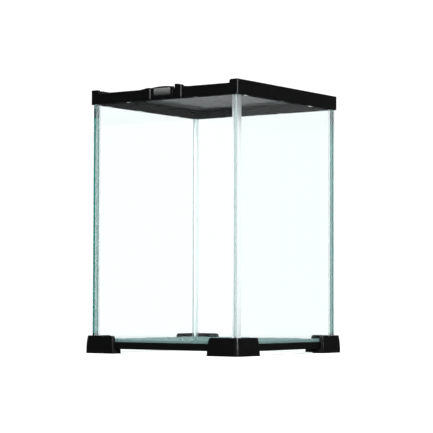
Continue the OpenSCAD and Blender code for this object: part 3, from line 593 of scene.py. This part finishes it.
def slice_level(bm, low, high):
    """Cuts the shape's faces at even heights, so that it can be bent"""
    for k in range(1, SLICES):
        everything = bm.verts[:] + bm.edges[:] + bm.faces[:]
        bmesh.ops.bisect_plane(bm, geom=everything, plane_co=(0, 0, low + (high - low) * k / SLICES),
                               plane_no=(0, 0, 1))


def swell_sides(bm, lo, hi):
    slice_level(bm, lo.z, hi.z)
    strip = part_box("base_frame")[1]
    for v in bm.verts:
        from_middle = 2 * (v.co.z - lo.z) / (hi.z - lo.z) - 1
        push = SWELL * (1 - from_middle ** 2)
        for axis in (0, 1):
            if abs(v.co[axis]) > strip[axis] + EDGE_R:
                v.co[axis] += math.copysign(push, v.co[axis])


for corner in corners:
    add_moulding("foot_" + corner + "_block", "foot_" + corner, grained_abs, "tank",
                 FOOT_EDGE_R, swell_sides)


# Top rim. The largest moulding, in the same black ABS and with the same grain. It caps the panes, holds the
# lid in a well and carries the latch posts, the catch and the hinge posts.
add_moulding("top_rim", "top_frame", grained_abs, "tank")


# Lid frame. Four bars moulded in one piece round the mesh, with a lug for the latch and a tab for the hinge.
# Its black ABS has a coarser and duller texture than the rim's.
LID_EDGE_R = 0.2 * MM
LID_ROUGHNESS, LID_GRAIN, LID_SHINE = 0.5, 0.04 * MM, 0.2

coarse_abs = moulded_abs("coarse_abs", LID_ROUGHNESS, LID_GRAIN, LID_SHINE)
add_moulding("lid_bars", "lid_frame", coarse_abs, "lid", LID_EDGE_R)


# Retainer. A flat ring of the lid's black ABS under the mesh. Six screws draw it up, so that it clamps the
# mesh to the lid frame all round.
add_moulding("mesh_clamp_ring", "mesh_retainer", coarse_abs, "lid", LID_EDGE_R)


# Lid mesh. Flattened aluminium wire in a twill weave, over two and under two, cut square and clamped at its
# edge between the lid frame and the retainer.
WIRE_W, WIRE_T = 0.28 * MM, 0.14 * MM
WIRE_PITCH = 1.5 * MM
WIRES_OVER = 2
CLAMPED = 1.5 * MM
WIRE_CREASE = 40
WIRE_BRIGHT = (0.2, 0.205, 0.21, 1)
WIRE_DULL = (0.11, 0.112, 0.115, 1)
WIRE_METAL, WIRE_SHINY, WIRE_MATT = 0.9, 0.35, 0.5
OXIDE_SCALE, OXIDE_DETAIL = 90.0, 4.0


def dull_wire():
    """Aluminium wire that the air has dulled in patches"""
    finish = bpy.data.materials.new("dull_wire")
    tree = open_tree(finish)
    oxide = unevenness(tree, place_on_piece(tree), OXIDE_SCALE, OXIDE_DETAIL)
    colour = add_node(tree, "ShaderNodeMix", {"data_type": "RGBA"}, Factor=patchy(tree, oxide, 0.0, 1.0),
                      i6=WIRE_BRIGHT, i7=WIRE_DULL)
    body = add_node(tree, "ShaderNodeBsdfPrincipled", Base_Color=colour.outputs[2], Metallic=WIRE_METAL,
                    Roughness=patchy(tree, oxide, WIRE_SHINY, WIRE_MATT))
    add_node(tree, "ShaderNodeOutputMaterial", Surface=body.outputs[0])
    return finish


def woven_mesh():
    """Wires both ways. Each goes over two and under two, and the next one does so one wire further on. Places
    along a wire are counted in wires, and a bend stands half way between two of them."""
    lo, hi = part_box("lid_mesh")
    middle = (lo.z + hi.z) / 2
    last = 2 * int((hi.x - CLAMPED) / WIRE_PITCH)
    outline = [(sx * WIRE_W / 2, sz * WIRE_T / 2) for sx, sz in ((-1, -1), (1, -1), (1, 1), (-1, 1))]
    bm = bmesh.new()
    for along_x, half_way, rise in ((True, 1 / 2, WIRE_T), (False, -1 / 2, -WIRE_T)):
        for wire in range(last + 1):
            across = (wire - last / 2) * WIRE_PITCH
            bends = [(wire + half_way + WIRES_OVER * k, rise if k % 2 == 0 else -rise)
                     for k in range(-last, last)]
            bends = [(0, 0)] + [(at, up) for at, up in bends if 0 < at < last] + [(last, 0)]
            rings = []
            for at, up in bends:
                along = (at - last / 2) * WIRE_PITCH
                rings.append([(along, across + side, middle + up + rest) if along_x
                              else (across + side, along, middle + up + rest) for side, rest in outline])
            skin_over(bm, rings)
    return smooth_mesh(bm, "woven_mesh", WIRE_CREASE)


add_piece("woven_lid_mesh", woven_mesh(), dull_wire(), "lid", "lid_mesh")


# Latch plate. A bowed plate moulded in black ABS that swings on a pin between the two front posts. Its face
# is also crowned a little from bottom to top.
CROWN, CROWN_DEPTH = 0.8 * MM, 2.5 * MM


def crown_face(bm, lo, hi):
    slice_level(bm, lo.z, hi.z)
    plate_lo, plate_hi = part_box("latch_plate")
    middle, half = (plate_lo.z + plate_hi.z) / 2, (plate_hi.z - plate_lo.z) / 2
    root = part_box("latch_badge")[0].y + CROWN_DEPTH
    for v in bm.verts:
        front = max(0, root - v.co.y) / CROWN_DEPTH
        v.co.y += CROWN * front * ((v.co.z - middle) / half) ** 2


add_moulding("latch_face_plate", "latch_plate", grained_abs, "latch", LID_EDGE_R, crown_face)


# Badge. A bare glossy plate set in the latch and crowned with it, and lacquered. Its colour carries a
# painted reflection of the bright room above: grey at the top, darkening downwards to black.
BADGE_EDGE_R = 0.08 * MM
# The grey is a painted reflection at the badge's top, and the black is its own colour lower down
PAINTED_REFLECTION_GREY = (0.15, 0.155, 0.155, 1)
BADGE_BLACK = (0.004, 0.004, 0.0045, 1)
LACQUER_SMOOTH, LACQUER_ROUGH = 0.1, 0.2
MARK_SCALE, MARK_DETAIL, MARK_STRENGTH = 300.0, 4.0, 0.1
MARK_DEPTH = 0.01 * MM


def badge_painted_reflection():
    """Lacquered black with fine handling marks, and a painted reflection: grey at the top, black below"""
    finish = bpy.data.materials.new("badge_painted_reflection")
    tree = open_tree(finish)
    lo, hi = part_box("latch_badge")
    place = place_on_piece(tree)
    height = add_node(tree, "ShaderNodeSeparateXYZ", Vector=place).outputs["Z"]
    marks = unevenness(tree, place, MARK_SCALE, MARK_DETAIL)
    # Painted reflection: grey at the top for the bright room mirrored there, black lower down
    colour = add_node(tree, "ShaderNodeMix", {"data_type": "RGBA"}, Factor=spread(tree, height, lo.z, hi.z),
                      i6=BADGE_BLACK, i7=PAINTED_REFLECTION_GREY)
    body = add_node(tree, "ShaderNodeBsdfPrincipled", Base_Color=colour.outputs[2],
                    Roughness=patchy(tree, marks, LACQUER_SMOOTH, LACQUER_ROUGH),
                    Normal=relief(tree, marks, MARK_STRENGTH, MARK_DEPTH))
    add_node(tree, "ShaderNodeOutputMaterial", Surface=body.outputs[0])
    return finish


add_moulding("latch_badge_face", "latch_badge", badge_painted_reflection(), "latch", BADGE_EDGE_R,
             crown_face)


# Pins, screws and spring. Steel, each as it is turned, headed or wound, so the shapes of the solids stay. The
# screws are blackened and the others plated.
PLATED_STEEL = (0.55, 0.56, 0.57, 1)
BLACKENED_STEEL = (0.02, 0.02, 0.021, 1)
TURNED_SMOOTH, TURNED_ROUGH = 0.2, 0.42
TURNED_SCALE, TURNED_DETAIL, TURNED_STRENGTH = 900.0, 3.0, 0.3
TURNED_DEPTH = 0.01 * MM


def turned_steel(name, colour):
    finish = bpy.data.materials.new(name)
    tree = open_tree(finish)
    turned = unevenness(tree, place_on_piece(tree), TURNED_SCALE, TURNED_DETAIL)
    body = add_node(tree, "ShaderNodeBsdfPrincipled", Base_Color=colour, Metallic=1.0,
                    Roughness=patchy(tree, turned, TURNED_SMOOTH, TURNED_ROUGH),
                    Normal=relief(tree, turned, TURNED_STRENGTH, TURNED_DEPTH))
    add_node(tree, "ShaderNodeOutputMaterial", Surface=body.outputs[0])
    return finish


plated = turned_steel("plated_steel", PLATED_STEEL)
blackened = turned_steel("blackened_steel", BLACKENED_STEEL)
steel_pieces = {"hinge_pin": plated, "latch_pin": plated, "latch_spring": plated,
                "retainer_screws": blackened}
for node, steel in steel_pieces.items():
    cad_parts[node].data.materials.clear()
    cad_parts[node].data.materials.append(steel)
